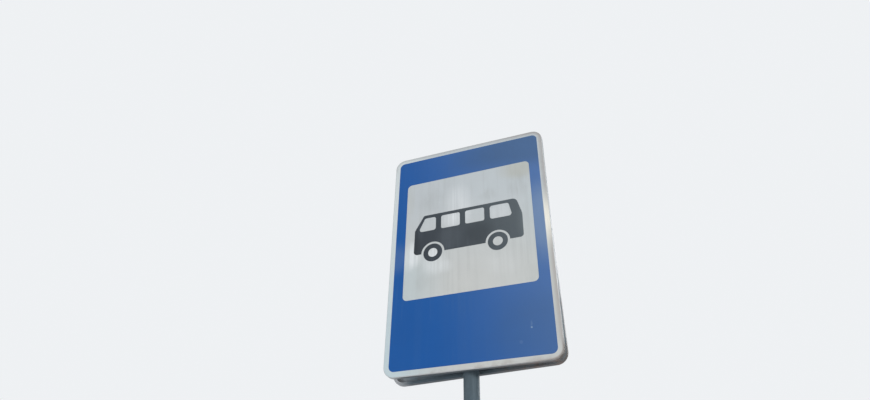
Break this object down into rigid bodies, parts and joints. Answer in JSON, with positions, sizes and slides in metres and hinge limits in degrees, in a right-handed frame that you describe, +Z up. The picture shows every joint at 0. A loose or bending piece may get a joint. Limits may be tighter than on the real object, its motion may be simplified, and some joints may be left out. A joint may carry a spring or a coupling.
{
  "type": "bus stop sign",
  "caption": "Double-sided bus stop sign: two flanged sheet-metal panels with a bus pictogram, clamped back to back on a tubular post with a bolt-down foot plate.",
  "frame": {"origin": "on the ground at the post's axis, at the centre of the foot plate's underside", "axes": "+Z up along the post; the front sign faces -Y; +X is to the right of someone who reads it"},
  "size_m": [0.7158, 0.4, 3.3092],
  "materials": {
    "post_zinc": "weathered galvanised steel tube",
    "cap_plastic": "dark grey moulded plastic",
    "plate_zinc": "hot-dip galvanised plate",
    "panel_zinc": "galvanised sheet, dull",
    "white_sheeting": "white retroreflective sheeting, slightly dirty",
    "blue_film": "blue retroreflective film",
    "black_film": "black film",
    "rail_zinc": "galvanised pressed section",
    "clamp_zinc": "galvanised strip"
  },
  "bodies": {
    "root": {"post": "post_zinc", "post_cap": "cap_plastic", "foot_plate": "plate_zinc", "gussets": "plate_zinc", "front_panel": "panel_zinc", "front_sheeting": "white_sheeting", "front_blue_film": "blue_film", "front_bus_figure": "black_film", "front_rails": "rail_zinc", "front_clamps": "clamp_zinc", "rear_panel": "panel_zinc", "rear_sheeting": "white_sheeting", "rear_blue_film": "blue_film", "rear_bus_figure": "black_film", "rear_rails": "rail_zinc", "rear_clamps": "clamp_zinc"}
  },
  "joints": []
}
